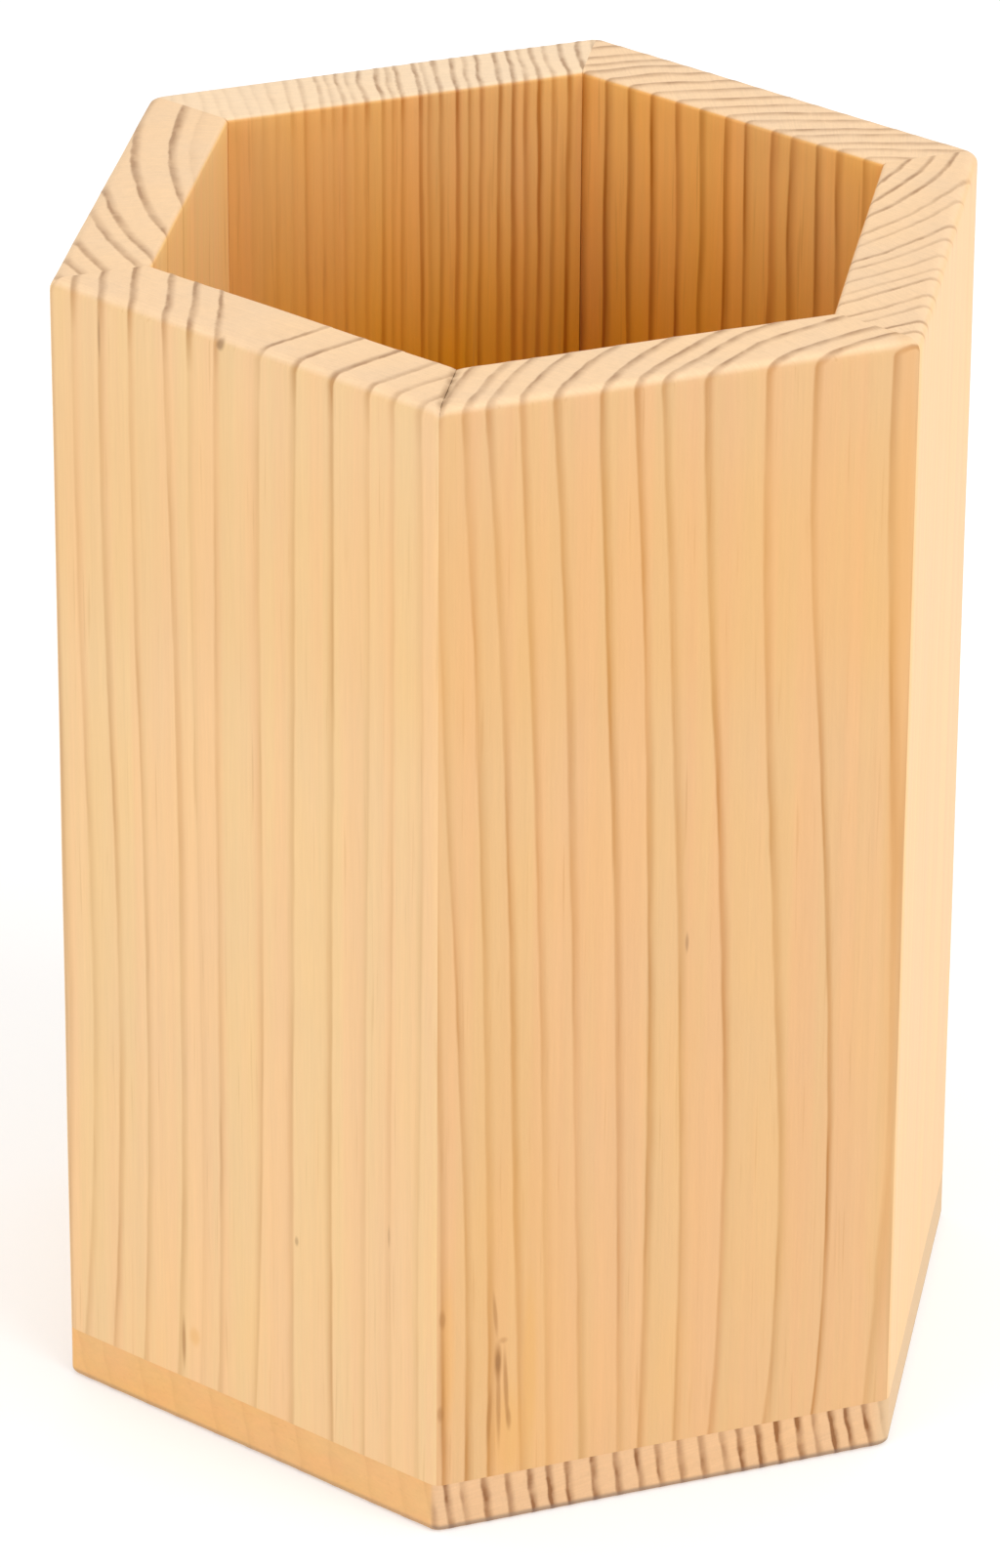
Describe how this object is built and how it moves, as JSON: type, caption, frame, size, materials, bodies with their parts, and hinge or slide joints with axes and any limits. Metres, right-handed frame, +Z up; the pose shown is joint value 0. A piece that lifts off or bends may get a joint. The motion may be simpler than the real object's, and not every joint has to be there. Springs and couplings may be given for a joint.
{
  "type": "pen holder",
  "caption": "Open hexagonal wooden cup of mitred upright staves on a flush glued base plate, for standing pens and pencils on a desk.",
  "frame": {"origin": "centre of the underside, on the surface that the holder stands on", "axes": "+Z up out of the open top, +X square to the flat outer face of the right stave, -Y through the front corner"},
  "size_m": [0.0692, 0.0796, 0.1],
  "materials": {
    "stave_wood": "sanded softwood with upright grain and end grain at the rim, satin clear coat",
    "base_wood": "sanded softwood with grain lying flat across the plate, satin clear coat"
  },
  "bodies": {
    "root": {"base_plate": "base_wood", "right_stave": "stave_wood", "back_right_stave": "stave_wood", "back_left_stave": "stave_wood", "left_stave": "stave_wood", "front_left_stave": "stave_wood", "front_right_stave": "stave_wood"}
  },
  "joints": []
}
